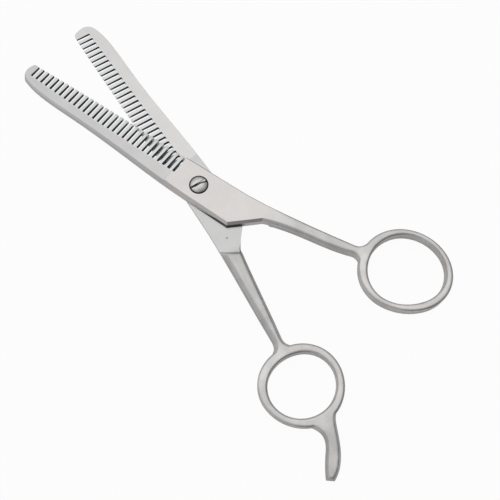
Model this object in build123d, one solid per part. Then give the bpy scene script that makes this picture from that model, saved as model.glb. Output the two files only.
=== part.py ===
from build123d import *
import os
from dataclasses import dataclass
from math import atan2, cos, degrees, hypot, radians, sin, sqrt

# Double-toothed thinning shears: two matching halves turning on one slotted screw.
# Each half is drawn in its own frame: the pivot is the origin, +X points to the tip,
# +Y points to the spine and +Z points outward from the face that meets the other half.
# In the assembly the finger half is the lower one and lies on the plane Z = 0 with its
# outer face; +Z is up, the pivot axis is the Z axis, and +X runs along the bisector of
# the open blades.

# ---- driving dimensions, millimetres and degrees ----
OPEN_ANGLE = 19.85         # angle between the two halves as drawn
PLATE = 2.4                # thickness of each half at the pivot block
HANDLE_RISE = 2.37         # how far each handle stands across the meeting plane
FACE_GAP = 0.03            # running gap between the two meeting faces

SPINE_WALL = 1.5           # height of the spine's flank at the pivot, below its bevel
SPINE_DRAFT = 0.4          # how far the flank leans in over that height
SPINE_FALL = 0.27          # degrees by which the top of the flank falls to the tip
SPINE_BEVEL = 1.28         # width of flank and bevel together at the pivot block
SHANK_BEVEL = 0.95         # width of the same where the shank meets the ring
TIP_BEVEL = 2.36           # width of the same at the tip, before the blade is ground
EDGE_EASE = 0.3            # eased edge along the tooth side of the handle
RING_EASE = 0.85           # rounding of the ring edges on the upper side
RING_BREAK = 0.6           # chamfer of the ring edges on the side that lies down
RING_LAND = 0.1            # least flat left between the two edges of a ring
RING_SHOULDER = 0.8        # width of the bevel round the tang and the ring ends
RING_BITE = 0.35           # how far the shank reaches into the wall of the ring
CROWN_WALL = 1.2           # depth at which the crowned inner side of the shank begins
CROWN_BACK = 0.95          # width of the crown's slope on the back
CROWN_BELLY = 1.65         # width of the crown's slope on the belly
RAMP = 1.2                 # length over which the handle rises to its full depth
TANG_WALL = 1.2            # half the depth of the upright side of the tang
SPINE_START = (1.0, 0.0)   # direction of the spine where it leaves the block
SPINE_END = (1.0, -0.33)   # direction of the spine where it meets the rounded tip
NOSE_FADE = 3              # points of the rounded tip over which the bevels run out

RICASSO_X = 10.3           # where the ground outer face of the blade begins
RICASSO_LEAN = 0.07        # lean of the ricasso line towards the tip at the spine

SLOT_COUNT = 30
SLOT_PITCH = 2.16
SLOT_DATUM = -2.0          # height at which the slots are spaced
SLOT_WIDTH = 1.05
ROOT_FALL_X = 44.0         # where the slot roots begin to fall towards the tip
COMB = (SLOT_COUNT - 1) * SLOT_PITCH

SCREW_HEAD_DIA = 5.76
SCREW_HEAD_PROUD = 1.1     # how far the domed head stands above the block
SCREW_HEAD_RIM = 0.2       # how far the edge of the head stands above the block
SCREW_SLOT_WIDTH = 0.8
SCREW_SLOT_DEPTH = 0.75
SCREW_SLOT_TURN = 69.0     # direction of the screwdriver slot in the thumb half
SHOULDER_DIA = 4.6
SHOULDER_FIT = 0.03        # radial running fit of the thumb half on the shoulder
RECESS_FIT = 0.27          # radial gap round the screw head in its recess
RECESS_FLOOR = 1.2         # metal left under the screw head
HEAD_FIT = 0.03            # axial play under the screw head
THREAD_DIA = 3.5           # the thread is drawn as a plain cylinder
THREAD_FIT = 0.02          # radial gap between the plain thread and its bore
THREAD_LEAD = 0.3          # chamfer at the end of the screw
PIT_DIA = 0.55             # small round pit on the meeting face of the finger half
PIT_AT = (-20.2, -2.6)


def arc_pair(start, heading, end, end_heading):
    """Two arcs, smooth where they meet, between two points with unit headings."""
    p, t, q, u = Vector(start), Vector(heading), Vector(end), Vector(end_heading)
    across = q - p
    along = across.dot(t + u)
    turn = 2 * (1 - t.dot(u))
    reach = (sqrt(along * along + turn * across.dot(across)) - along) / turn
    first, second = p + t * reach, q - u * reach
    middle = (first + second) / 2
    return [TangentArc(p, middle, tangent=t),
            TangentArc(middle, q, tangent=second - first)]


@dataclass(frozen=True)
class Oval:
    """Egg-shaped closed curve: a mean radius with a two-fold and a three-fold swell.

    Each swell is its height and the direction in which it first peaks.
    """
    centre: tuple
    mean: float
    oval: tuple
    egg: tuple
    spans: int = 6         # stretches of the curve that are drawn with two arcs each

    def radius(self, angle):
        """Distance from the centre to the curve in the direction `angle`."""
        two = self.oval[0] * cos(2 * radians(angle - self.oval[1]))
        three = self.egg[0] * cos(3 * radians(angle - self.egg[1]))
        return self.mean + two + three

    def at(self, angle):
        """Point of the curve in the direction `angle`."""
        reach = self.radius(angle)
        return (self.centre[0] + reach * cos(radians(angle)),
                self.centre[1] + reach * sin(radians(angle)))

    def heading(self, angle):
        """Clockwise direction of travel along the curve at `angle`."""
        ahead = self.at(angle - 1)
        behind = self.at(angle + 1)
        length = hypot(ahead[0] - behind[0], ahead[1] - behind[1])
        return ((ahead[0] - behind[0]) / length, (ahead[1] - behind[1]) / length)

    def drawn_in(self, width):
        """The same curve made smaller by `width` all round."""
        return Oval(self.centre, self.mean - width, self.oval, self.egg)

    def face(self):
        """The curve as a face, bounded by arcs that run smoothly into each other."""
        step = 360 / self.spans
        arcs = []
        for i in range(self.spans):
            start, end = -i * step, -(i + 1) * step
            arcs += arc_pair(self.at(start), self.heading(start),
                             self.at(end), self.heading(end))
        return make_face(arcs)


def curve(points, first=None, last=None):
    """Smooth edge through `points`, with end directions where they are given."""
    if first is None:
        return Spline(*points)
    return Spline(*points, tangents=[first, last])


def inset(points, widths):
    """Move each point to the right of the run's direction of travel by its width."""
    moved = []
    for i, (x, y) in enumerate(points):
        ahead = points[min(i + 1, len(points) - 1)]
        behind = points[max(i - 1, 0)]
        into = atan2(y - behind[1], x - behind[0])
        out = atan2(ahead[1] - y, ahead[0] - x)
        if i == 0:
            into = out
        if i == len(points) - 1:
            out = into
        middle = (into + out) / 2
        reach = widths[i] / cos((out - into) / 2)
        moved.append((x + reach * sin(middle), y - reach * cos(middle)))
    return moved


@dataclass(frozen=True)
class Bevel:
    """Widths by which a face is drawn in from the outline of its half."""
    spine: float = 0.0     # along the heel and at the block end of the spine
    tip: float = 0.0       # at the tip end of the spine
    back: float = 0.0      # on the back of the shank, next to the ring
    belly: float = 0.0     # along the tooth side of the block and the shank
    ring: float = 0.0      # where the shank runs into the ring, and round the tang


@dataclass(frozen=True)
class Half:
    """Outline of one half in its own frame, and the oval ring at its end."""
    spine: tuple           # from the block towards the tip
    nose: tuple            # end of the spine, then the rounded tip; x from the last slot
    teeth: tuple           # middle and block end of the line of tooth tips
    belly: tuple           # tooth side of the block, then of the shank
    back: tuple            # upper side of the shank, from the ring to the block
    heel: tuple            # slant from the shank up to the spine corner
    step: tuple            # back and belly ends of the foot of the handle's ramp
    ring: Oval             # outside of the finger ring
    hole: Oval             # inside of the finger ring
    ring_angles: tuple     # where the belly and the back run into the ring
    blends: tuple          # directions of the belly and the back at their ring ends
    tang: tuple            # lower side, rounded end and upper side, or empty
    slot_first: float      # place of the first slot along SLOT_DATUM
    slot_lean: float       # direction of the slots from +X
    root: tuple            # height of the slot roots at the block and at the tip
    grind: tuple           # depth ground off at the spine, the teeth and the tip
    turned: bool           # lies in the assembly with its outer face down

    def last_slot(self):
        """Place of the last slot along SLOT_DATUM."""
        return self.slot_first + COMB

    def sides(self, bevel):
        """The outline's point runs, drawn in by the widths of `bevel`.

        The width of the spine fades out over the first points of the nose.
        """
        n = len(self.back)
        m = n + len(self.heel)
        k = m + len(self.spine)
        nose = [(self.last_slot() + x, y) for x, y in self.nose]
        growth = (bevel.spine - bevel.back) / (n - 1)
        widths = [bevel.back + growth * i for i in range(n)]
        widths += [bevel.spine] * (m - n)
        growth = (bevel.tip - bevel.spine) / (k - m)
        widths += [bevel.spine + growth * i for i in range(k - m)]
        widths += [bevel.tip * max(0.0, 1 - i / NOSE_FADE) for i in range(len(nose))]
        upper = inset([*self.back, *self.heel, *self.spine, *nose], widths)
        belly = inset(self.belly, [bevel.belly] * len(self.belly))
        return upper[:n], upper[n:m], upper[m:k], upper[k:], belly

    def junction(self, back, belly, bevel):
        """Edges that carry the shank into the wall of the ring."""
        low, high = self.ring_angles
        ring = self.ring.drawn_in(bevel.ring + RING_BITE)
        return [
            curve([belly[-1], ring.at(low)], self.blends[0], ring.heading(low)),
            Line(ring.at(low), ring.at(high)),
            curve([ring.at(high), back[0]], ring.heading(high), self.blends[1]),
        ]

    def outline(self, bevel):
        """Face of the blade, block and shank, closed inside the wall of the ring."""
        back, heel, spine, nose, belly = self.sides(bevel)
        return make_face([
            curve([*spine, nose[0]], SPINE_START, SPINE_END),
            curve(nose),
            ThreePointArc(nose[-1], *self.teeth),
            Line(self.teeth[-1], belly[0]),
            Line(belly[0], belly[1]),
            curve(belly[1:]),
            *self.junction(back, belly, bevel),
            curve(back),
            *[Line(a, b) for a, b in zip([back[-1], *heel], [*heel, spine[0]])],
        ])

    def handle(self, bevel):
        """Face of the full depth shank, closed inside the wall of the ring."""
        back, _heel, _spine, _nose, belly = self.sides(bevel)
        return make_face([
            curve(belly[1:]),
            *self.junction(back, belly, bevel),
            curve(back),
            Line(back[-1], belly[1]),
        ])

    def tail(self, bevel):
        """Face of the tang, closed inside the wall of the ring."""
        lower, upper = self.tang
        runs = inset([*lower, *upper], [bevel.ring] * (len(lower) + len(upper)))
        lower, upper = runs[:len(lower)], runs[len(lower):]
        return make_face([
            curve(lower),
            Line(lower[-1], upper[0]),
            curve(upper),
            Line(upper[-1], lower[0]),
        ])

    def ring_wall(self):
        """Thinnest wall between the hole and the outside of the ring."""
        walls = []
        for angle in range(360):
            x, y = self.hole.at(angle)
            dx, dy = x - self.ring.centre[0], y - self.ring.centre[1]
            outward = degrees(atan2(dy, dx))
            walls.append(self.ring.radius(outward) - hypot(dx, dy))
        return min(walls)

    def slots(self):
        """Faces of every slot between the teeth."""
        run = Vector(cos(radians(self.slot_lean)), sin(radians(self.slot_lean)))
        below = self.teeth[-1][1] - PLATE
        faces = []
        for i in range(SLOT_COUNT):
            x = self.slot_first + i * SLOT_PITCH
            fall = max(0.0, (x - ROOT_FALL_X) / (self.last_slot() - ROOT_FALL_X))
            top = self.root[0] + (self.root[1] - self.root[0]) * fall
            length = (top - below) / run.Y
            centre = Vector(x, SLOT_DATUM) + run * ((top - SLOT_DATUM) / run.Y - length / 2)
            slot = Rectangle(length, SLOT_WIDTH)
            faces.append(Location(centre, (0, 0, self.slot_lean)) * slot)
        return faces


THUMB = Half(
    spine=((1.7, 6.6), (25.5, 5.7), (50.7, 4.7)),
    nose=((0.38, 2.95), (2.88, 1.15), (3.35, -0.42), (2.93, -2.68), (2.18, -4.1)),
    teeth=((50.3, -4.98), (9.35, -5.6)),
    belly=((-15.5, -6.6), (-22.8, -7.25), (-30.4, -8.25), (-42.0, -10.0),
           (-54.4, -12.15)),
    back=((-55.6, -9.2), (-40.0, -5.55), (-30.0, -3.3), (-24.9, -1.4)),
    heel=((-22.0, 1.25), (-16.0, 6.55)),
    step=((-27.0, -1.6), (-22.8, -7.5)),
    ring=Oval((-72.5, -14.5), 14.65, (0.84, 18.0), (0.145, 67.1)),
    hole=Oval((-72.73, -14.74), 12.23, (0.565, 33.7), (0.257, 77.0)),
    ring_angles=(-14.0, 27.0),
    blends=((-0.985, -0.18), (0.974, 0.225)),
    tang=(),
    slot_first=9.88,
    slot_lean=86.5,
    root=(0.9, 0.07),
    grind=(0.12, 0.93, 0.65),
    turned=False,
)
FINGER = Half(
    spine=((1.7, 6.4), (25.5, 5.65), (50.7, 5.0)),
    nose=((0.66, 3.75), (3.16, 1.9), (3.71, 0.0), (3.46, -1.6), (3.01, -3.1), (1.16, -4.0)),
    teeth=((50.0, -4.8), (9.35, -5.75)),
    belly=((-15.5, -6.8), (-22.8, -7.4), (-35.2, -8.6), (-45.3, -9.65),
           (-57.0, -10.75)),
    back=((-58.2, -7.75), (-45.8, -5.25), (-35.9, -3.35), (-26.0, -1.2)),
    heel=((-22.5, 1.45), (-19.8, 3.95), (-16.2, 6.5)),
    step=((-27.0, -1.6), (-22.8, -7.5)),
    ring=Oval((-73.65, -11.29), 13.39, (0.3, 127.7), (0.212, 65.0)),
    hole=Oval((-73.81, -11.16), 10.5, (0.52, 100.5), (0.074, 62.6)),
    ring_angles=(-17.7, 27.3),
    blends=((-0.995, -0.095), (0.98, 0.2)),
    tang=(
        ((-86.0, -16.3), (-87.6, -15.45), (-89.4, -15.0), (-92.5, -15.9), (-95.5, -18.3),
         (-98.5, -20.6), (-100.9, -22.1)),
        ((-102.5, -20.2), (-100.5, -16.8), (-95.5, -12.75), (-90.5, -10.2),
         (-88.2, -9.0), (-86.0, -6.6)),
    ),
    slot_first=9.1,
    slot_lean=93.8,
    root=(0.97, 0.97),
    grind=(0.45, 1.25, 1.1),
    turned=True,
)


def grind(half):
    """Space above the ground outer face of the blade."""
    spine_depth, teeth_depth, tip_depth = half.grind
    tip = half.last_slot() + half.nose[2][0]
    y_hi = half.spine[0][1] + PLATE
    y_lo = half.teeth[-1][1] - PLATE
    x_end = tip + PLATE
    lean = (teeth_depth - spine_depth) / (half.spine[0][1] - half.teeth[-1][1])
    fall = (tip_depth - spine_depth) / (tip - RICASSO_X)

    def section(x_hi, x_lo):
        corners = []
        for x, y in ((x_hi, y_hi), (x_lo, y_lo)):
            depth = spine_depth + lean * (half.spine[0][1] - y) + fall * (x - RICASSO_X)
            corners.append((x, y, PLATE - depth))
        tops = [(x_lo, y_lo, 2 * PLATE), (x_hi, y_hi, 2 * PLATE)]
        return make_face(Polyline(*corners, *tops, close=True))

    near = section(RICASSO_X + RICASSO_LEAN * y_hi, RICASSO_X + RICASSO_LEAN * y_lo)
    return loft([near, section(x_end, x_end)], ruled=True)


def ring_body(half):
    """Full ring with rounded edges, before it meets its shank."""
    wall = half.ring.face() - half.hole.face()
    body = extrude(Pos(0, 0, -HANDLE_RISE) * wall, PLATE + HANDLE_RISE)
    room = (half.ring_wall() - RING_LAND) / 2
    lower = body.faces().filter_by(Axis.Z).sort_by(Axis.Z, half.turned)[0]
    body = chamfer(lower.edges(), min(RING_BREAK, room))
    upper = body.faces().filter_by(Axis.Z).sort_by(Axis.Z, half.turned)[-1]
    return fillet(upper.edges(), min(RING_EASE, room))


def ramp(half, gap):
    """Space in front of the sloping start of the handle, below the meeting face."""
    (x0, y0), (x1, y1) = half.step
    along = Vector(x1 - x0, y1 - y0).normalized()
    rearward = Vector(along.Y, -along.X)
    depth = HANDLE_RISE + RAMP
    foot = Plane(origin=(x0, y0, gap), x_dir=rearward, z_dir=along)
    slope = RAMP / HANDLE_RISE
    wedge = make_face(Polyline((0, 0), (slope * depth, depth), (-depth, depth),
                               (-depth, 0), close=True))
    return extrude(foot * wedge, hypot(x1 - x0, y1 - y0) + depth, both=True)


def half_body(half, gap):
    """One half in its own frame, its meeting face lifted by `gap`."""
    plain = Bevel()
    flank = Bevel(SPINE_DRAFT, SPINE_DRAFT, SPINE_DRAFT)
    outer = Bevel(SPINE_BEVEL, TIP_BEVEL, SHANK_BEVEL, EDGE_EASE, RING_SHOULDER)
    inner = Bevel(CROWN_BACK, 0.0, CROWN_BACK, CROWN_BELLY, RING_SHOULDER)
    brow = Pos(0, 0, SPINE_WALL) * Rot(0, SPINE_FALL, 0) * half.outline(flank)
    wall = loft([Pos(0, 0, gap) * half.outline(plain), brow], ruled=True)
    top = loft([brow, Pos(0, 0, PLATE) * half.outline(outer)], ruled=True)
    shank = extrude(Pos(0, 0, -CROWN_WALL) * half.handle(plain), CROWN_WALL + gap)
    crown = loft([Pos(0, 0, -HANDLE_RISE) * half.handle(inner),
                  Pos(0, 0, -CROWN_WALL) * half.handle(plain)], ruled=True)
    body = wall + top + (shank + crown - ramp(half, gap)) + ring_body(half)
    if half.tang:
        middle = extrude(Pos(0, 0, -TANG_WALL) * half.tail(plain), 2 * TANG_WALL)
        caps = [loft([Pos(0, 0, s * TANG_WALL) * half.tail(plain),
                      Pos(0, 0, z) * half.tail(outer)], ruled=True)
                for s, z in ((1, PLATE), (-1, -HANDLE_RISE))]
        body = body + middle + caps[0] + caps[1]
    cuts = [extrude(Pos(0, 0, -PLATE) * slot, 3 * PLATE) for slot in half.slots()]
    return body - grind(half) - cuts


def bore(radius, low, high):
    """Round cutter on the pivot axis between two heights."""
    return Pos(0, 0, low) * extrude(Circle(radius), high - low)


def thumb_blade():
    """Moving half: clearance bore for the shoulder and recess for the screw head."""
    body = half_body(THUMB, FACE_GAP)
    body = body - bore(SHOULDER_DIA / 2 + SHOULDER_FIT, -PLATE, PLATE)
    body = body - bore(SCREW_HEAD_DIA / 2 + RECESS_FIT, RECESS_FLOOR, 2 * PLATE)
    return Pos(0, 0, PLATE) * Rot(0, 0, OPEN_ANGLE / 2) * body


def finger_blade():
    """Still half: tapped bore for the screw and a small maker's pit."""
    body = half_body(FINGER, 0.0)
    body = body - bore(THREAD_DIA / 2 + THREAD_FIT, -PLATE, 2 * PLATE)
    body = body - Pos(*PIT_AT, 0) * Sphere(PIT_DIA / 2)
    return Pos(0, 0, PLATE) * Rot(0, 0, -OPEN_ANGLE / 2) * Rot(180, 0, 0) * body


def pivot_screw():
    """Slotted screw: domed head, bearing shoulder and threaded end on one axis."""
    head = SCREW_HEAD_DIA / 2
    shoulder = SHOULDER_DIA / 2
    thread = THREAD_DIA / 2
    under = RECESS_FLOOR + HEAD_FIT
    rim = PLATE + SCREW_HEAD_RIM
    crown = PLATE + SCREW_HEAD_PROUD
    end = -PLATE
    rise = crown - rim
    arch = (rise * rise + head * head) / (2 * rise)
    half_way = atan2(head, arch - rise) / 2
    mid = (arch * sin(half_way), crown - arch + arch * cos(half_way))
    profile = [
        ThreePointArc((0, crown), mid, (head, rim)),
        Polyline((head, rim), (head, under), (shoulder, under), (shoulder, 0),
                 (thread, 0), (thread, end + THREAD_LEAD), (thread - THREAD_LEAD, end),
                 (0, end), (0, crown)),
    ]
    body = revolve(Rot(90, 0, 0) * make_face(profile), Axis.Z)
    slot = Box(2 * SCREW_HEAD_DIA, SCREW_SLOT_WIDTH, 2 * SCREW_SLOT_DEPTH)
    turn = SCREW_SLOT_TURN + OPEN_ANGLE / 2
    return Pos(0, 0, PLATE) * (body - Pos(0, 0, crown) * Rot(0, 0, turn) * slot)


if __name__ == "__main__":
    os.makedirs("parts", exist_ok=True)
    for build in (thumb_blade, finger_blade, pivot_screw):
        piece = build()
        print(build.__name__, len(piece.solids()), piece.is_valid, piece.volume)
        export_step(piece.solid(), "parts/%s.step" % build.__name__)
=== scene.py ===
"""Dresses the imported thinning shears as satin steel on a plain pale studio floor."""
import logging
import math
from dataclasses import dataclass, field
from enum import Enum
from typing import Any, Optional, Union

import bpy
from mathutils import Matrix, Vector


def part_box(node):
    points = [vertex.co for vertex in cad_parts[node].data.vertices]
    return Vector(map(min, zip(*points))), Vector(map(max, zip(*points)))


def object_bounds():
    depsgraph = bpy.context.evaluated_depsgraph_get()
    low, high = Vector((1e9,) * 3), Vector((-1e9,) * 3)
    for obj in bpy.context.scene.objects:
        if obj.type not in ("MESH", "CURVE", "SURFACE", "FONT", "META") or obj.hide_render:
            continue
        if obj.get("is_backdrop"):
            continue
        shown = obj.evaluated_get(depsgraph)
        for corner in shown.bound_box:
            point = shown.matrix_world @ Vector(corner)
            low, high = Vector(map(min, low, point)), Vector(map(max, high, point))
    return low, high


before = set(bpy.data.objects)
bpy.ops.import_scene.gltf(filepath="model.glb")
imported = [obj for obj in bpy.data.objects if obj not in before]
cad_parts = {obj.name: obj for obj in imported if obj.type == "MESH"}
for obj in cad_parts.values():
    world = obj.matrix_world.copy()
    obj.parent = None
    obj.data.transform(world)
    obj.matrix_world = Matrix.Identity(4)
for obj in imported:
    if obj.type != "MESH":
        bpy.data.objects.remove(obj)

log = logging.getLogger("thinning_shears")

MM = 0.001
HALF_TURN = 9.925          # each half lies this many degrees off the bisector
MEETING_FACE_MM = 2.4      # height of the plane in which the halves meet
RICASSO_MM = 10.3          # where the ground blade starts, along a half from the pivot
RICASSO_LEAN = 0.07        # how far that line leans along the half, per mm across
RICASSO_SOFT_MM = 0.12
WALL_TILT = (0.25, 0.6)    # upward share of a normal, from a wall to a face
EDGE_TURN = (0.01, 0.12)   # how much of an eased normal is turned, from a face to an edge

Number = Union[int, float]
Colour = tuple[float, float, float]
Span = tuple[float, float]


class Side(Enum):
    """Which way a half's own frame lies in the object's frame."""

    UPPER = 1
    LOWER = -1


class Value:
    """A node socket that adds Math nodes when it takes part in an expression."""

    def __init__(self, graph: "Graph", owner: Any, socket: Any) -> None:
        """Wraps a socket.

        Args:
            graph: the node graph that the socket belongs to.
            owner: the node that has the socket.
            socket: the output socket.
        """
        self.graph = graph
        self.owner = owner
        self.socket = socket

    def output(self, name: Any) -> "Value":
        """Another output of the same node, by name or number."""
        return Value(self.graph, self.owner, self.owner.outputs[name])

    def math(self, operation: str, first: Any, second: Any = 0.0) -> "Value":
        """Adds one Math node.

        Args:
            operation: the node's operation.
            first: its first value or link.
            second: its second value or link.

        Returns:
            The node's result.
        """
        return self.graph.node("ShaderNodeMath", {"operation": operation},
                               {0: first, 1: second})

    def __add__(self, other: Any) -> "Value":
        """Sum."""
        return self.math("ADD", self, other)

    __radd__ = __add__

    def __sub__(self, other: Any) -> "Value":
        """Difference."""
        return self.math("SUBTRACT", self, other)

    def __rsub__(self, other: Any) -> "Value":
        """Difference from a plain number."""
        return self.math("SUBTRACT", other, self)

    def __mul__(self, other: Any) -> "Value":
        """Product."""
        return self.math("MULTIPLY", self, other)

    __rmul__ = __mul__

    def __truediv__(self, other: Any) -> "Value":
        """Quotient."""
        return self.math("DIVIDE", self, other)

    def size(self) -> "Value":
        """Absolute value."""
        return self.math("ABSOLUTE", self)

    def wave(self) -> "Value":
        """Sine, in radians."""
        return self.math("SINE", self)

    def wrap(self, length: Number) -> "Value":
        """Remainder about zero, between plus and minus half of `length`."""
        return self.graph.node("ShaderNodeMath", {"operation": "WRAP"},
                               {0: self, 1: length / 2, 2: -length / 2})

    def clamp(self) -> "Value":
        """This value kept between 0 and 1."""
        return self.graph.node("ShaderNodeClamp", {}, {0: self})

    def step(self, low: Number, high: Number) -> "Value":
        """Smooth step from 0 at `low` to 1 at `high`."""
        return self.graph.node(
            "ShaderNodeMapRange", {"interpolation_type": "SMOOTHSTEP"},
            {0: self, 1: low, 2: high, 3: 0.0, 4: 1.0})

    def rise(self, place: Number, soft: Number) -> "Value":
        """Smooth step at `place` that is `soft` wide on each side."""
        return self.step(place - soft, place + soft)

    def within(self, low: Number, high: Number, soft: Number) -> "Value":
        """1 between `low` and `high`, with an edge of width `soft` on each side."""
        return self.rise(low, soft) * (1.0 - self.rise(high, soft))

    def towards(self, goal: "Value", share: "Value") -> "Value":
        """This value led to `goal` by `share`."""
        return self + (goal - self) * share


class Graph:
    """A node tree that is built up from code."""

    def __init__(self, tree: Any) -> None:
        """Starts from an empty `tree`."""
        self.tree = tree
        self.tree.nodes.clear()

    def node(self, kind: str, settings: Optional[dict[str, Any]] = None,
             inputs: Optional[dict[Any, Any]] = None, output: Any = 0) -> Value:
        """Adds a node of any type.

        Args:
            kind: the node's type.
            settings: properties that are set before its sockets; `stops` is the
                list of places and colours of a colour ramp.
            inputs: values or links by socket name or number.
            output: name or number of the output that is returned.

        Returns:
            The chosen output.
        """
        made = self.tree.nodes.new(kind)
        for key, setting in (settings or {}).items():
            if key == "stops":
                self.set_stops(made.color_ramp.elements, setting)
            else:
                setattr(made, key, setting)
        for key, given in (inputs or {}).items():
            if isinstance(given, Value):
                self.tree.links.new(given.socket, made.inputs[key])
            else:
                made.inputs[key].default_value = given
        return Value(self, made, made.outputs[output] if len(made.outputs) else None)

    def set_stops(self, elements: Any, stops: list[tuple[float, Colour]]) -> None:
        """Gives a colour ramp its stops."""
        while len(elements) < len(stops):
            elements.new(0.5)
        for element, (place, colour) in zip(elements, stops):
            element.position = place
            element.color = (*colour, 1.0)

    def blend(self, amount: Any, first: Any, second: Any) -> Value:
        """Mix of two colours by `amount`."""
        pair = [c if isinstance(c, Value) else (*c, 1.0) for c in (first, second)]
        return self.node("ShaderNodeMix", {"data_type": "RGBA"},
                         {0: amount, 6: pair[0], 7: pair[1]}, 2)

    def vector(self, operation: str, first: Any, second: Any = (0.0, 0.0, 0.0),
               output: Any = 0) -> Value:
        """One Vector Math node."""
        return self.node("ShaderNodeVectorMath", {"operation": operation},
                         {0: first, 1: second}, output)

    def dot(self, first: Any, second: Any) -> Value:
        """How far two unit vectors agree, from -1 to 1."""
        return self.vector("DOT_PRODUCT", first, second, 1)

    def length(self, span: Any) -> Value:
        """Length of a vector."""
        return self.vector("LENGTH", span, output=1)

    def split(self, place: Value, axis: int = 0) -> Value:
        """One component of a vector, whose other outputs are the rest."""
        return self.node("ShaderNodeSeparateXYZ", {}, {0: place}, axis)

    def joined(self, x: Any, y: Any, z: Any) -> Value:
        """A vector from three values."""
        return self.node("ShaderNodeCombineXYZ", {}, {0: x, 1: y, 2: z})

    def noise(self, place: Value, scale: float, detail: float = 3.0,
              roughness: float = 0.5) -> Value:
        """Fractal noise between 0 and 1."""
        return self.node("ShaderNodeTexNoise", {},
                         {"Vector": place, "Scale": scale, "Detail": detail,
                          "Roughness": roughness}, 0)


class Shader(Graph):
    """The graph of a new material."""

    def __init__(self, name: str) -> None:
        """Starts an empty material called `name`."""
        self.material = bpy.data.materials.new(name)
        self.material.use_nodes = True
        super().__init__(self.material.node_tree)

    def placed(self, location: tuple[float, float, float], turn_deg: float,
               scale: tuple[float, float, float]) -> Value:
        """Object coordinates in a frame that lies at `location`, turned about Z."""
        coords = self.node("ShaderNodeTexCoord", {}, {}, "Object")
        return self.node("ShaderNodeMapping", {"vector_type": "TEXTURE"},
                         {"Vector": coords, "Location": location,
                          "Rotation": (0.0, 0.0, math.radians(turn_deg)),
                          "Scale": scale})

    def eased(self, radius_mm: float, samples: int) -> Value:
        """Normal that rounds every edge by a radius."""
        return self.node("ShaderNodeBevel", {"samples": samples},
                         {"Radius": radius_mm * MM})

    def turned(self, eased: Value, flat: Value, span: Span) -> Value:
        """Mask of where an eased normal leaves the flat one."""
        return (1.0 - self.dot(eased, flat)).step(*span)

    def steel(self, colour: Value, rough: Value, relief: Value, normal: Value,
              depth_mm: float, strength: float) -> Any:
        """Closes the material as bare steel.

        Args:
            colour: its tone.
            rough: its roughness.
            relief: height of its lines, between about 0 and 1.
            normal: the normal that the relief stands on.
            depth_mm: depth of the relief.
            strength: how strongly the relief shows.

        Returns:
            The finished material.
        """
        bumped = self.node("ShaderNodeBump", {},
                           {"Strength": strength, "Distance": depth_mm * MM,
                            "Height": relief, "Normal": normal})
        return self.finish(self.node(
            "ShaderNodeBsdfPrincipled", {},
            {"Metallic": 1.0, "Base Color": colour, "Roughness": rough,
             "Normal": bumped}))

    def finish(self, surface: Value) -> Any:
        """Links the surface to the output and returns the material."""
        self.node("ShaderNodeOutputMaterial", {}, {"Surface": surface})
        return self.material


@dataclass(frozen=True)
class Ground:
    """One zone of ground steel: its light and dark tone, gloss and lines.

    The lines have a run along them and a pitch across them, and may lie at an
    angle to the half.
    """

    colour: Colour
    shade: Colour
    roughness: float
    line_mm: Span
    line_deg: float = 0.0

    def tone(self, shader: Shader, mottle: Value) -> Value:
        """Colour between the dark and the light tone."""
        return shader.blend(mottle, self.shade, self.colour)


@dataclass(frozen=True)
class RingShape:
    """A finger ring in its half's own frame, and where its finish fades out."""

    centre_mm: Span
    radius_mm: float
    fade_mm: Span = (0.4, 2.4)


@dataclass(frozen=True)
class CombShape:
    """Where the slots of a blade lie, in its half's own frame.

    The roots of the slots keep one height up to the start of `fall_mm` and then
    go to the second height of `root_mm`.
    """

    first_mm: float
    lean_deg: float
    pitch_mm: float = 2.16
    width_mm: float = 1.05
    datum_mm: float = -2.0
    tips_mm: float = -4.6
    tips_soft_mm: float = 0.25
    end_mm: float = 0.8
    end_soft_mm: float = 0.1
    root_mm: Span = (0.9, 0.9)
    root_fade_mm: Span = (0.1, 0.3)
    fall_mm: Span = (44.0, 72.5)

    def above_root(self, x: Value, y: Value) -> Value:
        """Height above the line of the slots' roots."""
        start, end = self.fall_mm
        first, last = self.root_mm
        fall = (x - start) / (end - start)
        return y - fall.clamp() * (last - first) - first

    def toothed(self, x: Value, y: Value, above_root: Value) -> Value:
        """Mask of the band of teeth and slots."""
        band = y.rise(self.tips_mm, self.tips_soft_mm)
        band = band * (1.0 - above_root.step(*self.root_fade_mm))
        return band * x.within(self.first_mm - self.end_mm,
                               self.fall_mm[1] + self.end_mm, self.end_soft_mm)


@dataclass(frozen=True)
class SlotRimShade:
    """Painted shade on the tooth tops beside each slot, which widens the dark slot walls.
    """

    inner_mm: float = 0.1
    outer_mm: float = 0.14
    soft_mm: float = 0.04
    root_fade_mm: Span = (-0.25, 0.05)
    share: float = 0.7

    def mask(self, comb: CombShape, x: Value, y: Value, above_root: Value) -> Value:
        """Mask of the painted shade beside the slots of one comb."""
        lean = 1.0 / math.tan(math.radians(comb.lean_deg))
        along = x - (y - comb.datum_mm) * lean - comb.first_mm
        edge = comb.width_mm / 2
        beside = along.wrap(comb.pitch_mm).within(
            edge - self.inner_mm, edge + self.outer_mm, self.soft_mm)
        return beside * (1.0 - above_root.step(*self.root_fade_mm)) * self.share


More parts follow.
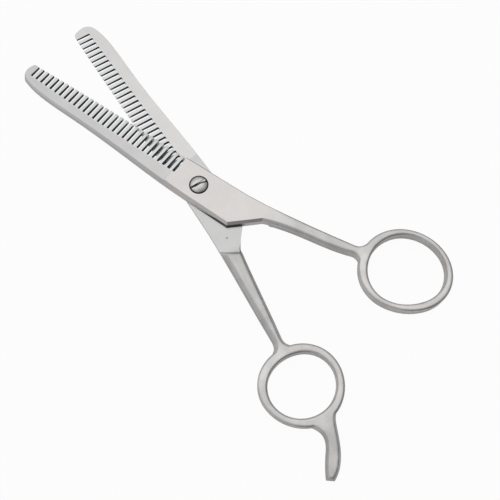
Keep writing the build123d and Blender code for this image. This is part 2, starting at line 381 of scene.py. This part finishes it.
@dataclass(frozen=True)
class PartingShade:
    """Painted shade low on the flank of the upper block, where the halves part, standing in
    for the shadow between them.

    It opens from `start_mm` backwards, at `growth` per mm, up to its height.
    """

    start_mm: float
    growth: float
    end_mm: float = -20.0
    end_soft_mm: float = 0.8
    height_mm: float = 1.5
    soft_mm: float = 0.25
    spine_side_mm: Span = (-3.0, -2.0)
    share: float = 0.9

    def mask(self, zones: "Zones") -> Value:
        """Mask of the painted shade."""
        limit = ((self.start_mm - zones.x) * self.growth).clamp() * self.height_mm
        low = 1.0 - (zones.z - limit).rise(0.0, self.soft_mm)
        along = zones.x.within(self.end_mm, self.start_mm, self.end_soft_mm)
        return zones.wall * low * along * zones.y.step(*self.spine_side_mm) * self.share


@dataclass(frozen=True)
class BellyEdgeShade:
    """Painted shade: a dark line along the edge between a half's face and its belly, where
    the eased normal turns towards the belly.
    """

    radius_mm: float = 0.5
    samples: int = 8
    near: Span = (0.01, 0.06)
    lean: Span = (0.1, 0.3)

    def mask(self, shader: Shader, flat: Value, side: Side) -> Value:
        """Mask of the painted shade line."""
        eased = shader.eased(self.radius_mm, self.samples)
        tilt = shader.node("ShaderNodeVectorTransform",
                           {"vector_type": "NORMAL", "convert_from": "WORLD",
                            "convert_to": "OBJECT"}, {0: eased})
        turn = math.radians(HALF_TURN)
        belly = (math.sin(turn), -side.value * math.cos(turn), 0.0)
        return (shader.turned(eased, flat, self.near)
                * shader.dot(tilt, belly).step(*self.lean))


@dataclass
class Zones:
    """A half's own coordinates in mm, and masks of its zones between 0 and 1."""

    x: Value
    y: Value
    z: Value
    above_root: Value
    wall: Value
    blade: Value
    handle: Value
    ring: Value
    toothed: Value
    painted_shade: Value


@dataclass
class Grain:
    """Patterns of the steel: broad clouds and smears, specks and grinding lines."""

    cloud: Value
    smear: Value
    specks: Value
    lines: Value


@dataclass(frozen=True)
class HalfSteel:
    """Finish of one half: lengthwise satin, cross-ground blade, lapped ring, and painted
    shade in its slots, its recess, along its edges and where the halves part.

    Coordinates are those of the half's own frame, +X towards the tip and +Y
    towards the spine, in millimetres.
    """

    name: str
    side: Side
    body: Ground
    blade: Ground
    handle: Ground
    lapped: Ground
    ring: RingShape
    comb: CombShape
    foot_mm: Span = (-26.5, -23.5)
    recess_mm: float = 0.0
    recess_soft_mm: float = 0.06
    parting_shade: Optional[PartingShade] = None
    belly_edge_shade: Optional[BellyEdgeShade] = None
    slot_rim_shade: SlotRimShade = SlotRimShade()
    # near-black colour of the painted shade in the slots, beside them, in the recess and
    # where the halves part
    painted_shade: Colour = (0.055, 0.053, 0.051)
    # dark colour of the painted shade along edges
    painted_edge_shade: Colour = (0.13, 0.125, 0.12)
    cool: Colour = (0.74, 0.765, 0.79)
    grime: Colour = (0.30, 0.29, 0.28)
    # share of the painted shade in the recess round the screw head
    recess_shade_share: float = 0.95
    edge_shade_share: float = 0.55
    edge_shade_fade_mm: Span = (0.5, 1.0)
    cool_share: float = 0.6
    grime_share: float = 0.3
    grain_span: Span = (0.3, 0.72)
    speck_span: Span = (0.68, 0.76)
    edge_mm: float = 0.14
    soft_mm: float = 1.2
    ring_crispness: float = 0.3
    uneven_gloss: float = 0.14
    worn_gloss: float = 0.1
    depth_mm: float = 0.006
    relief_strength: float = 0.35

    def own_place(self, shader: Shader) -> Value:
        """Object coordinates in the half's own frame, in millimetres."""
        way = self.side.value
        return shader.placed((0.0, 0.0, MEETING_FACE_MM * MM), HALF_TURN * way,
                             (MM, MM * way, MM * way))

    def ground_lines(self, shader: Shader, place: Value, zone: Ground) -> Value:
        """Fine parallel grinding lines of one zone."""
        run, pitch = zone.line_mm
        turned = shader.node("ShaderNodeVectorRotate", {"rotation_type": "Z_AXIS"},
                             {"Vector": place, "Angle": -math.radians(zone.line_deg)})
        spot = shader.vector("MULTIPLY", turned, (1.0 / run, 1.0 / pitch, 0.9))
        return shader.noise(spot, 1.0, 3.0, 0.55)

    def lapping(self, shader: Shader, place: Value) -> tuple[Value, Value]:
        """Lines that run round the ring, and the ring's mask.

        Args:
            shader: the material graph.
            place: coordinates in the half's own frame.

        Returns:
            The lines and the mask.
        """
        centre = (*self.ring.centre_mm, 0.0)
        out = shader.vector("MULTIPLY", shader.vector("SUBTRACT", place, centre),
                            (1.0, 1.0, 0.0))
        radius = shader.length(out)
        way = shader.split(out)
        height = shader.split(place, 2)
        run, pitch = self.lapped.line_mm
        spot = shader.joined((radius + height) * (1.0 / pitch), way * (1.0 / run),
                             way.output(1) * (1.0 / run) + height * 3.0)
        lines = shader.noise(spot, 1.0, 3.0, 0.55)
        inner, outer = (self.ring.radius_mm + fade for fade in self.ring.fade_mm)
        return lines, 1.0 - radius.step(inner, outer)

    def zones(self, shader: Shader, place: Value, on_ring: Value) -> Zones:
        """Masks of the half's zones.

        Args:
            shader: the material graph.
            place: coordinates in the half's own frame.
            on_ring: mask of the ring.

        Returns:
            The coordinates and all masks.
        """
        x = shader.split(place)
        y = x.output(1)
        facing = shader.node("ShaderNodeTexCoord", {}, {}, "Normal")
        wall = 1.0 - shader.split(facing, 2).size().step(*WALL_TILT)
        above_root = self.comb.above_root(x, y)
        toothed = self.comb.toothed(x, y, above_root)
        slot_rim_shade = self.slot_rim_shade.mask(self.comb, x, y, above_root)
        # the slot mask is painted shade on the slot walls and on the tooth tops beside them
        return Zones(
            x=x, y=y, z=x.output(2), above_root=above_root, wall=wall,
            blade=(x - y * RICASSO_LEAN).rise(RICASSO_MM, RICASSO_SOFT_MM),
            handle=1.0 - x.step(*self.foot_mm), ring=on_ring, toothed=toothed,
            painted_shade=toothed * (wall + slot_rim_shade).clamp())

    def grain(self, shader: Shader, place: Value, zones: Zones,
              ring_lines: Value) -> Grain:
        """Patterns of the steel.

        Args:
            shader: the material graph.
            place: coordinates in the half's own frame.
            zones: the half's masks.
            ring_lines: the lines round the ring.

        Returns:
            The patterns.
        """
        lines = self.ground_lines(shader, place, self.body)
        for zone, mask in ((self.blade, zones.blade), (self.handle, zones.handle)):
            lines = lines.towards(self.ground_lines(shader, place, zone), mask)
        return Grain(cloud=shader.noise(place, 0.15, 4.0, 0.6),
                     smear=shader.noise(place, 0.06, 3.0, 0.6),
                     specks=shader.noise(place, 2.4, 2.0, 0.5).step(*self.speck_span),
                     lines=lines.towards(ring_lines, zones.ring))

    def tone(self, shader: Shader, zones: Zones, grain: Grain, flat: Value,
             edge: Value) -> Value:
        """Colour of the half.

        Args:
            shader: the material graph.
            zones: the half's masks.
            grain: the steel's patterns.
            flat: the surface's own normal.
            edge: mask of the sharp edges.

        Returns:
            The colour.
        """
        mottle = (grain.cloud * 0.6 + grain.lines * 0.4).step(*self.grain_span)
        colour = self.body.tone(shader, mottle)
        for zone, mask in ((self.handle, zones.handle), (self.lapped, zones.ring),
                           (self.blade, zones.blade)):
            colour = shader.blend(mask, colour, zone.tone(shader, mottle))
        colour = shader.blend(grain.specks * self.grime_share, colour, self.grime)
        # painted shade along the sharp edges of the blade, above the slots' roots
        edge_shade = edge * zones.blade * zones.above_root.step(*self.edge_shade_fade_mm)
        colour = shader.blend(edge_shade * self.edge_shade_share, colour, self.painted_edge_shade)
        if self.belly_edge_shade:
            # painted shade on the edges that turn towards the belly
            line = self.belly_edge_shade.mask(shader, flat, self.side)
            line = line * (1.0 - zones.blade) * (1.0 - zones.ring)
            colour = shader.blend(line, colour, self.painted_edge_shade)
        colour = shader.blend(zones.toothed * self.cool_share, colour, self.cool)
        # painted shade on the slot walls and on the tooth tops beside them
        colour = shader.blend(zones.painted_shade, colour, self.painted_shade)
        if self.recess_mm:
            # painted shade in the recess round the screw head
            across = shader.length(shader.joined(zones.x, zones.y, 0.0))
            recess_shade = 1.0 - across.step(self.recess_mm, self.recess_mm + self.recess_soft_mm)
            colour = shader.blend(recess_shade * self.recess_shade_share, colour, self.painted_shade)
        if self.parting_shade:
            # painted shadow low on the flank where the halves part
            colour = shader.blend(self.parting_shade.mask(zones), colour, self.painted_shade)
        return colour

    def gloss(self, zones: Zones, grain: Grain, edge: Value) -> Value:
        """Roughness of the half.

        Args:
            zones: the half's masks.
            grain: the steel's patterns.
            edge: mask of the sharp edges.

        Returns:
            The roughness.
        """
        base = self.body.roughness
        rough = zones.blade * (self.blade.roughness - base)
        rough = rough + zones.handle * (self.handle.roughness - base)
        rough = rough + base + (grain.lines - 0.5) * self.uneven_gloss
        rough = rough + (grain.smear - 0.5) * self.uneven_gloss
        return rough - edge * self.worn_gloss + zones.painted_shade * self.worn_gloss

    def build(self) -> Any:
        """Makes the material.

        Returns:
            The finished material.
        """
        shader = Shader(self.name)
        place = self.own_place(shader)
        ring_lines, on_ring = self.lapping(shader, place)
        zones = self.zones(shader, place, on_ring)
        grain = self.grain(shader, place, zones, ring_lines)

        sharp = shader.eased(self.edge_mm, 6)
        soft = shader.eased(self.soft_mm, 8)
        rounded = zones.handle * (1.0 - zones.ring * self.ring_crispness)
        normal = shader.node("ShaderNodeMix", {"data_type": "VECTOR"},
                             {0: rounded, 4: sharp, 5: soft}, 1)
        flat = shader.node("ShaderNodeNewGeometry", {}, {}, "Normal")
        edge = shader.turned(sharp, flat, EDGE_TURN)

        relief = grain.lines * 0.8 + grain.cloud * 0.2 - grain.specks * 0.5
        return shader.steel(self.tone(shader, zones, grain, flat, edge),
                            self.gloss(zones, grain, edge), relief, normal,
                            self.depth_mm, self.relief_strength)


@dataclass(frozen=True)
class TurnedSteel:
    """Finish of the pivot screw: lathe rings on its head, painted shade in its driver slot
    and round the head's rim, and wear with painted highlight on its edges.
    """

    name: str
    colour: Colour
    shade: Colour
    roughness: float
    slot_deg: float
    slot_mm: float
    slot_soft_mm: Span = (-0.06, -0.01)
    head_mm: float = 5.76
    head_floor_mm: Span = (3.0, 3.2)
    rim_mm: float = 0.5
    ring_mm: float = 0.14
    ring_wander: float = 1.5
    depth_mm: float = 0.008
    relief_strength: float = 0.4
    edge_mm: float = 0.1
    # near-black colour of the painted shade round the head's rim and in the driver slot
    painted_shade: Colour = (0.05, 0.048, 0.045)
    # light colour of worn edges and painted highlight on them
    wear_and_highlight: Colour = (0.86, 0.85, 0.83)
    wear_and_highlight_share: float = 0.5
    rim_shade_share: float = 0.45
    slot_shade_share: float = 0.95
    cloud_gloss: float = 0.25
    ring_gloss: float = 0.08

    def build(self) -> Any:
        """Makes the material.

        Returns:
            The finished material.
        """
        shader = Shader(self.name)
        place = shader.placed((0.0, 0.0, 0.0), self.slot_deg, (MM, MM, MM))
        radius = shader.length(shader.vector("MULTIPLY", place, (1.0, 1.0, 0.0)))
        beside = shader.split(place, 1)
        inner, outer = (self.slot_mm / 2 + soft for soft in self.slot_soft_mm)
        in_slot = 1.0 - beside.size().step(inner, outer)
        in_slot = in_slot * beside.output(2).step(*self.head_floor_mm)
        # painted shade in the gap round the head's rim
        rim_shade = radius.step(self.head_mm / 2 - self.rim_mm, self.head_mm / 2)
        cloud = shader.noise(place, 0.42, 4.0, 0.6)
        rings = (radius / self.ring_mm + cloud * self.ring_wander) * (2 * math.pi)
        rings = rings.wave() * 0.5 + 0.5

        rounded = shader.eased(self.edge_mm, 6)
        flat = shader.node("ShaderNodeNewGeometry", {}, {}, "Normal")
        edge = shader.turned(rounded, flat, EDGE_TURN)
        colour = shader.blend(cloud.step(0.35, 0.7), self.shade, self.colour)
        # worn edges and painted highlight, lighter along the edges
        colour = shader.blend(edge * self.wear_and_highlight_share, colour, self.wear_and_highlight)
        # painted shade round the head's rim and in the driver slot
        colour = shader.blend(rim_shade * self.rim_shade_share, colour, self.painted_shade)
        colour = shader.blend(in_slot * self.slot_shade_share, colour, self.painted_shade)
        rough = (cloud - 0.5) * self.cloud_gloss + self.roughness
        rough = rough + (rings - 0.5) * self.ring_gloss
        return shader.steel(colour, rough, rings * 0.6 + cloud * 0.6, rounded,
                            self.depth_mm, self.relief_strength)


THUMB_BODY = Ground((0.685, 0.66, 0.65), (0.635, 0.61, 0.60), 0.30, (6.0, 0.16))
THUMB_BLADE = Ground((0.645, 0.64, 0.64), (0.59, 0.585, 0.585), 0.34, (0.14, 7.0))
THUMB_HANDLE = Ground((0.65, 0.645, 0.64), (0.47, 0.46, 0.455), 0.33, (14.0, 0.26), 13.0)
FINGER_BODY = Ground((0.595, 0.595, 0.595), (0.545, 0.545, 0.545), 0.27, (6.0, 0.16))
FINGER_BLADE = Ground((0.71, 0.705, 0.70), (0.655, 0.65, 0.645), 0.33, (0.16, 6.0))
FINGER_HANDLE = Ground((0.63, 0.625, 0.62), (0.46, 0.455, 0.45), 0.33, (14.0, 0.26), 10.0)
LAPPED = Ground((0.73, 0.72, 0.71), (0.53, 0.52, 0.51), 0.33, (6.25, 0.2))


@dataclass
class DressedNode:
    """A CAD node that keeps its shape and takes a finish."""

    node: str
    finish: Union[HalfSteel, TurnedSteel]

    def build(self) -> None:
        """Puts the finish on the node and reports it."""
        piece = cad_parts[self.node]
        piece.data.materials.clear()
        piece.data.materials.append(self.finish.build())
        low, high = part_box(self.node)
        size = [round((b - a) / MM, 1) for a, b in zip(low, high)]
        log.info("%s dressed with %s, %s mm", self.node, self.finish.name, size)


@dataclass
class ThumbHalf:
    """Upper, moving half with the larger ring."""

    blade: DressedNode = field(default_factory=lambda: DressedNode(
        "thumb_blade",
        HalfSteel("satin_steel_thumb", Side.UPPER, THUMB_BODY, THUMB_BLADE,
                  THUMB_HANDLE, LAPPED, RingShape((-72.6, -14.6), 15.5),
                  CombShape(9.88, 86.5, root_mm=(0.9, 0.07)),
                  foot_mm=(-34.0, -21.0), recess_mm=3.25,
                  parting_shade=PartingShade(-3.5, 0.12), belly_edge_shade=BellyEdgeShade())))

    def build(self) -> None:
        """Dresses the half."""
        self.blade.build()


@dataclass
class FingerHalf:
    """Lower half with the smaller ring, the finger rest and the pivot screw."""

    blade: DressedNode = field(default_factory=lambda: DressedNode(
        "finger_blade",
        HalfSteel("satin_steel_finger", Side.LOWER, FINGER_BODY, FINGER_BLADE,
                  FINGER_HANDLE, LAPPED, RingShape((-73.7, -11.2), 13.7),
                  CombShape(9.1, 93.8, root_mm=(0.97, 0.97), fall_mm=(44.0, 71.74)))))
    screw: DressedNode = field(default_factory=lambda: DressedNode(
        "pivot_screw",
        TurnedSteel("turned_steel_screw", (0.76, 0.75, 0.73), (0.64, 0.63, 0.61),
                    0.24, 69.0, 0.8)))

    def build(self) -> None:
        """Dresses the half and its screw."""
        self.blade.build()
        self.screw.build()


def direction(azimuth: float, elevation: float) -> tuple[float, float, float]:
    """Unit vector towards an azimuth and elevation in degrees."""
    turn, rise = math.radians(azimuth), math.radians(elevation)
    return (math.cos(turn) * math.cos(rise), math.sin(turn) * math.cos(rise),
            math.sin(rise))


@dataclass
class Studio:
    """Pale floor under a broad soft light, with a fill card at one side.

    The light and the card lie at an azimuth and elevation in degrees. The glows
    are how white the floor is to the camera and to mirrored rays.
    """

    floor_size: float = 3.0
    floor_gap: float = 0.00005
    floor_colour: Colour = (0.75, 0.75, 0.75)
    seen_glow: float = 0.95
    mirror_glow: float = 0.17
    horizon_white: Colour = (0.978, 0.978, 0.978)
    key_way: Span = (330.0, 64.0)
    fill_way: Span = (76.0, 8.0)
    fill_span: Span = (0.15, 0.95)
    fill: float = 0.40
    sky_stops: tuple[tuple[float, Colour], ...] = (
        (0.0, (0.14, 0.14, 0.145)),
        (0.35, (0.24, 0.24, 0.245)),
        (0.62, (0.46, 0.46, 0.46)),
        (0.80, (0.84, 0.835, 0.83)),
        (1.0, (1.0, 0.995, 0.99)),
    )
    lamp_place: tuple[float, float, float] = (0.05, -0.15, 0.7)
    lamp_size: float = 0.5
    lamp_power: float = 0.1

    def floor(self) -> None:
        """Adds the floor under the lowest point of the object."""
        low, _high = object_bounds()
        bpy.ops.mesh.primitive_plane_add(size=self.floor_size,
                                         location=(0.0, 0.0, low[2] - self.floor_gap))
        plane = bpy.context.object
        plane.name = "studio_floor"
        shader = Shader("pale_floor")
        rays = shader.node("ShaderNodeLightPath", {}, {}, "Is Camera Ray")
        share = rays * self.seen_glow + rays.output("Is Glossy Ray") * self.mirror_glow
        white = shader.node("ShaderNodeEmission", {},
                            {"Color": (1.0, 1.0, 1.0, 1.0), "Strength": 1.0})
        paper = shader.node("ShaderNodeBsdfDiffuse", {},
                            {"Color": (*self.floor_colour, 1.0)})
        plane.data.materials.append(shader.finish(
            shader.node("ShaderNodeMixShader", {}, {0: share, 1: paper, 2: white})))
        plane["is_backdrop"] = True

    def lamp(self) -> None:
        """Adds a square soft lamp that faces the object."""
        data = bpy.data.lights.new("overhead_softbox", "AREA")
        data.shape = "SQUARE"
        data.size = self.lamp_size
        data.energy = self.lamp_power
        lamp = bpy.data.objects.new("overhead_softbox", data)
        bpy.context.scene.collection.objects.link(lamp)
        outwards = Vector(self.lamp_place).normalized()
        lamp.matrix_world = (Matrix.Translation(self.lamp_place)
                             @ outwards.to_track_quat("Z", "Y").to_matrix().to_4x4())

    def sky(self) -> None:
        """World that is bright about the key's way, dim elsewhere, white to the camera."""
        world = bpy.data.worlds.new("studio_sky")
        bpy.context.scene.world = world
        world.use_nodes = True
        graph = Graph(world.node_tree)
        way = graph.node("ShaderNodeTexCoord", {}, {}, "Generated")
        near_key = graph.dot(way, direction(*self.key_way))
        near_fill = graph.dot(way, direction(*self.fill_way))
        tone = graph.node("ShaderNodeValToRGB", {"stops": list(self.sky_stops)},
                          {0: near_key})
        card = near_fill.step(*self.fill_span) * self.fill
        tone = graph.vector("ADD", tone, graph.joined(card, card, card))
        glow = graph.node("ShaderNodeBackground", {}, {0: tone})
        white = graph.node("ShaderNodeBackground", {}, {0: (*self.horizon_white, 1.0)})
        seen = graph.node("ShaderNodeLightPath", {}, {}, "Is Camera Ray")
        graph.node("ShaderNodeOutputWorld", {},
                   {0: graph.node("ShaderNodeMixShader", {}, {0: seen, 1: glow, 2: white})})

    def build(self) -> None:
        """Adds everything that isn't part of the object."""
        self.floor()
        self.sky()
        self.lamp()
        log.info("studio added")


@dataclass
class Viewer:
    """Camera above the open shears, rings to the lower right."""

    aim: tuple[float, float, float] = (-0.027805, 0.003632, 0.0024)
    heading: float = 224.795
    elevation: float = 73.0
    distance: float = 0.2574
    lens: float = 56.16
    sensor: float = 36.0
    clip: Span = (0.01, 20.0)

    def build(self) -> None:
        """Adds the camera and makes it the scene's."""
        turn = math.radians(self.heading)
        rise = math.radians(self.elevation)
        right = Vector((math.cos(turn), math.sin(turn), 0.0))
        ahead = Vector((-math.sin(turn), math.cos(turn), 0.0))
        back = Vector((0.0, 0.0, math.sin(rise))) - ahead * math.cos(rise)
        up = back.cross(right)
        data = bpy.data.cameras.new("viewer")
        data.lens = self.lens
        data.sensor_width = self.sensor
        data.clip_start, data.clip_end = self.clip
        camera = bpy.data.objects.new("viewer", data)
        bpy.context.scene.collection.objects.link(camera)
        place = Vector(self.aim) + back * self.distance
        camera.matrix_world = Matrix((
            (right.x, up.x, back.x, place.x),
            (right.y, up.y, back.y, place.y),
            (right.z, up.z, back.z, place.z),
            (0.0, 0.0, 0.0, 1.0)))
        bpy.context.scene.camera = camera
        log.info("camera added")


def main() -> None:
    """Dresses the shears, then adds the studio and the camera."""
    logging.basicConfig(level=logging.INFO, format="%(message)s")
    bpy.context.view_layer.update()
    bpy.ops.object.select_all(action="DESELECT")
    bpy.context.scene.view_settings.view_transform = "Standard"
    for half in (ThumbHalf(), FingerHalf()):
        half.build()
    Studio().build()
    Viewer().build()


if __name__ == "__main__":
    main()
